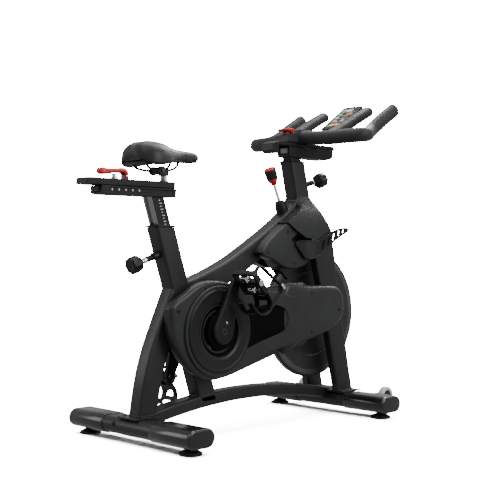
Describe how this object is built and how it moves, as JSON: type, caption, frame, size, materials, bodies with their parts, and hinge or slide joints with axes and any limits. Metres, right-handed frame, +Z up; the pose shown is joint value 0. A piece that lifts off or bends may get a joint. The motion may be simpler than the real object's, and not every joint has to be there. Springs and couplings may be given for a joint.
{
  "type": "exercise bike",
  "caption": "Stationary indoor cycle with a belt-driven flywheel, adjustable saddle and handlebar, crank pedals and a knob brake.",
  "frame": {"origin": "on the floor, under the middle of the bike's overall length and width", "axes": "+X the way the rider faces, +Y to the rider's left, +Z up; the drive side is -Y"},
  "size_m": [1.2958, 0.605, 1.1703],
  "materials": {
    "frame_paint": "satin black powder coat",
    "cover_plastic": "satin dark grey moulded plastic",
    "black_plastic": "satin black",
    "red_plastic": "semi-gloss red",
    "rubber": "matte black",
    "grip_rubber": "matte dark grey",
    "saddle_skin": "satin black synthetic leather",
    "steel": "bright steel",
    "aluminium": "satin extruded aluminium",
    "cast_iron": "satin black-coated",
    "wheel_grey": "light grey"
  },
  "bodies": {
    "frame": {"frame": "frame_paint", "stabiliser_rear": "frame_paint", "stabiliser_front": "frame_paint", "end_cover_rear_right": "cover_plastic", "end_cover_rear_left": "cover_plastic", "end_cover_front_right": "cover_plastic", "end_cover_front_left": "cover_plastic", "seat_collar": "black_plastic", "head_collar": "black_plastic", "brake_socket": "black_plastic", "guard_right": "cover_plastic", "guard_left": "cover_plastic", "guard_plate": "cover_plastic", "side_shroud_right": "cover_plastic", "side_shroud_left": "cover_plastic", "bottle_wing": "cover_plastic", "flywheel_axle": "steel", "drive_belt": "rubber"},
    "crank": {"crank_axle": "steel", "crank_right": "black_plastic", "crank_left": "black_plastic", "drive_pulley": "aluminium", "pedal_axle_right": "steel", "pedal_axle_left": "steel"},
    "pedal_right": {"pedal_body_right": "black_plastic", "pedal_cage_right": "black_plastic"},
    "pedal_left": {"pedal_body_left": "black_plastic", "pedal_cage_left": "black_plastic"},
    "flywheel": {"flywheel": "cast_iron"},
    "seat_post": {"seat_post": "aluminium", "seat_guide": "black_plastic"},
    "seat_carriage": {"seat_carriage": "black_plastic", "lever_block": "steel", "saddle_stem": "steel", "saddle_clamp": "black_plastic"},
    "seat_lever": {"seat_lever": "red_plastic"},
    "saddle": {"saddle_rails": "steel", "saddle_base": "black_plastic", "saddle_cushion": "saddle_skin"},
    "bar_post": {"bar_post": "aluminium", "bar_guide": "black_plastic"},
    "bar_carriage": {"bar_carriage": "black_plastic", "stem_cover": "cover_plastic", "handlebar": "grip_rubber", "console_mount": "black_plastic", "console": "black_plastic"},
    "bar_lever": {"bar_lever": "red_plastic"},
    "seat_pin": {"seat_pin": "black_plastic"},
    "head_pin": {"head_pin": "black_plastic"},
    "brake_push": {"brake_nut": "steel"},
    "brake_knob": {"brake_rod": "steel", "brake_grip": "red_plastic"},
    "brake_yoke": {"brake_yoke": "steel"},
    "transport_wheel_right": {"transport_wheel_right": "wheel_grey"},
    "transport_wheel_left": {"transport_wheel_left": "wheel_grey"},
    "foot_rear_right": {"foot_rear_right": "rubber"},
    "foot_rear_left": {"foot_rear_left": "rubber"},
    "foot_front_right": {"foot_front_right": "rubber"},
    "foot_front_left": {"foot_front_left": "rubber"}
  },
  "joints": [
    {"name": "seat_height", "type": "slide", "parent": "frame", "child": "seat_post", "axis": [-0.309, 0, 0.9511], "range_m": [-0.085, 0.1]},
    {"name": "seat_fore_aft", "type": "slide", "parent": "seat_post", "child": "seat_carriage", "axis": [1, 0, 0], "range_m": [-0.05, 0.07]},
    {"name": "seat_lever_turn", "type": "hinge", "parent": "seat_carriage", "child": "seat_lever", "pos_m": [-0.4844, 0, 0.839], "axis": [0, 1, 0], "range_deg": [0, 80]},
    {"name": "saddle_tilt", "type": "hinge", "parent": "seat_carriage", "child": "saddle", "pos_m": [-0.3524, 0, 0.863], "axis": [0, 1, 0], "range_deg": [-7, 7]},
    {"name": "bar_height", "type": "slide", "parent": "frame", "child": "bar_post", "axis": [-0.2284, 0, 0.9736], "range_m": [-0.012, 0.08]},
    {"name": "bar_fore_aft", "type": "slide", "parent": "bar_post", "child": "bar_carriage", "axis": [1, 0, 0], "range_m": [-0.04, 0.05]},
    {"name": "bar_lever_turn", "type": "hinge", "parent": "bar_carriage", "child": "bar_lever", "pos_m": [0.2676, 0, 1.042], "axis": [0, 1, 0], "range_deg": [0, 75]},
    {"name": "seat_pin_pull", "type": "slide", "parent": "frame", "child": "seat_pin", "axis": [-0.9511, 0, -0.309], "range_m": [0, 0.01], "stiffness_N_per_m": 1200, "springref_m": -0.004},
    {"name": "head_pin_pull", "type": "slide", "parent": "frame", "child": "head_pin", "axis": [0.9736, 0, 0.2284], "range_m": [0, 0.01], "stiffness_N_per_m": 1200, "springref_m": -0.004},
    {"name": "flywheel_spin", "type": "hinge", "parent": "frame", "child": "flywheel", "pos_m": [0.3846, 0, 0.374], "axis": [0, 1, 0], "continuous": true},
    {"name": "crank_spin", "type": "hinge", "parent": "frame", "child": "crank", "pos_m": [-0.1604, 0, 0.342], "axis": [0, 1, 0], "continuous": true},
    {"name": "pedal_right_spin", "type": "hinge", "parent": "crank", "child": "pedal_right", "pos_m": [-0.10226, 0, 0.50175], "axis": [0, 1, 0], "continuous": true},
    {"name": "pedal_left_spin", "type": "hinge", "parent": "crank", "child": "pedal_left", "pos_m": [-0.21854, 0, 0.18225], "axis": [0, 1, 0], "continuous": true},
    {"name": "brake_push", "type": "slide", "parent": "frame", "child": "brake_push", "axis": [-0.4039, 0, 0.9148], "range_m": [-0.008, 0], "stiffness_N_per_m": 1500, "springref_m": 0.004},
    {"name": "brake_turn", "type": "hinge", "parent": "brake_push", "child": "brake_knob", "pos_m": [0.2176, 0, 0.785], "axis": [-0.4039, 0, 0.9148], "range_deg": [0, 720]},
    {"name": "brake_yoke_swing", "type": "hinge", "parent": "frame", "child": "brake_yoke", "pos_m": [0.1526, 0, 0.588], "axis": [0, 1, 0], "range_deg": [0, 3.5]},
    {"name": "transport_wheel_right_spin", "type": "hinge", "parent": "frame", "child": "transport_wheel_right", "pos_m": [0.5836, -0.2, 0.066], "axis": [0, 1, 0], "continuous": true},
    {"name": "transport_wheel_left_spin", "type": "hinge", "parent": "frame", "child": "transport_wheel_left", "pos_m": [0.5836, 0.2, 0.066], "axis": [0, 1, 0], "continuous": true},
    {"name": "foot_rear_right_turn", "type": "hinge", "parent": "frame", "child": "foot_rear_right", "pos_m": [-0.4324, -0.2506, 0], "axis": [0, 0, 1], "range_deg": [-180, 180]},
    {"name": "foot_rear_left_turn", "type": "hinge", "parent": "frame", "child": "foot_rear_left", "pos_m": [-0.4324, 0.2506, 0], "axis": [0, 0, 1], "range_deg": [-180, 180]},
    {"name": "foot_front_right_turn", "type": "hinge", "parent": "frame", "child": "foot_front_right", "pos_m": [0.4876, -0.2506, 0], "axis": [0, 0, 1], "range_deg": [-180, 180]},
    {"name": "foot_front_left_turn", "type": "hinge", "parent": "frame", "child": "foot_front_left", "pos_m": [0.4876, 0.2506, 0], "axis": [0, 0, 1], "range_deg": [-180, 180]}
  ],
  "couplings": [
    {"joint": "crank_spin", "follows": "flywheel_spin", "ratio": 0.28},
    {"joint": "brake_yoke_swing", "follows": "brake_turn", "ratio": 0.0048611}
  ]
}
